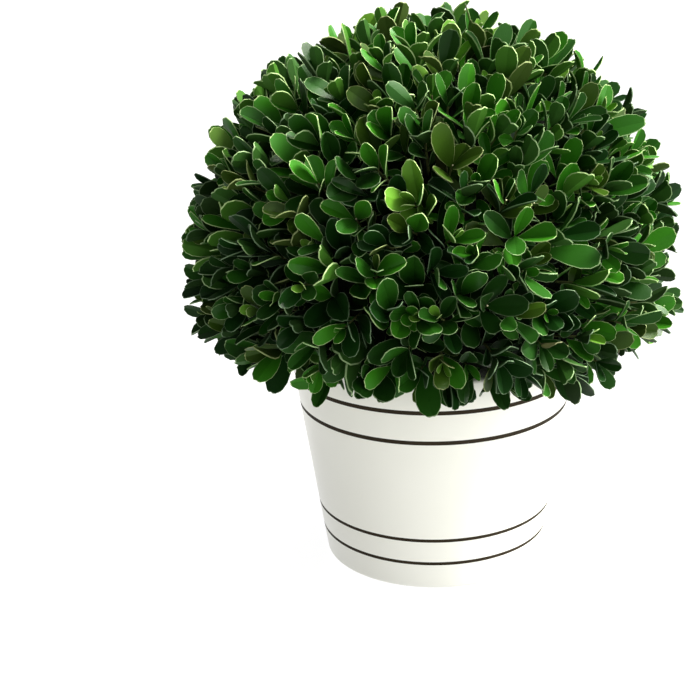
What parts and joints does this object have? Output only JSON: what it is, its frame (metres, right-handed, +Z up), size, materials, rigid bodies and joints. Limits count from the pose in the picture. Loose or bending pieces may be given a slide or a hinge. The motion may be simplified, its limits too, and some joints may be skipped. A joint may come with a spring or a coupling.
{
  "type": "box topiary ball in a pot",
  "caption": "Clipped ball of small-leaved box foliage on a short stem, standing in a tapered glazed pot with a flat underside.",
  "frame": {"origin": "centre of the pot's flat underside", "axes": "+Z up along the stem, towards the crown; +Y away from the viewer and +X to the right"},
  "size_m": [0.2576, 0.2568, 0.2931],
  "materials": {
    "pot_glaze": "gloss glaze, off-white, with thin dark painted lines",
    "fill": "matt, fibrous, dark brown with some moss",
    "bark": "rough grey-brown bark",
    "leaf": "leathery satin leaf, deep green with paler edges"
  },
  "bodies": {
    "root": {"pot": "pot_glaze", "potting_fill": "fill", "stem": "bark", "foliage_ball": "leaf"}
  },
  "joints": []
}
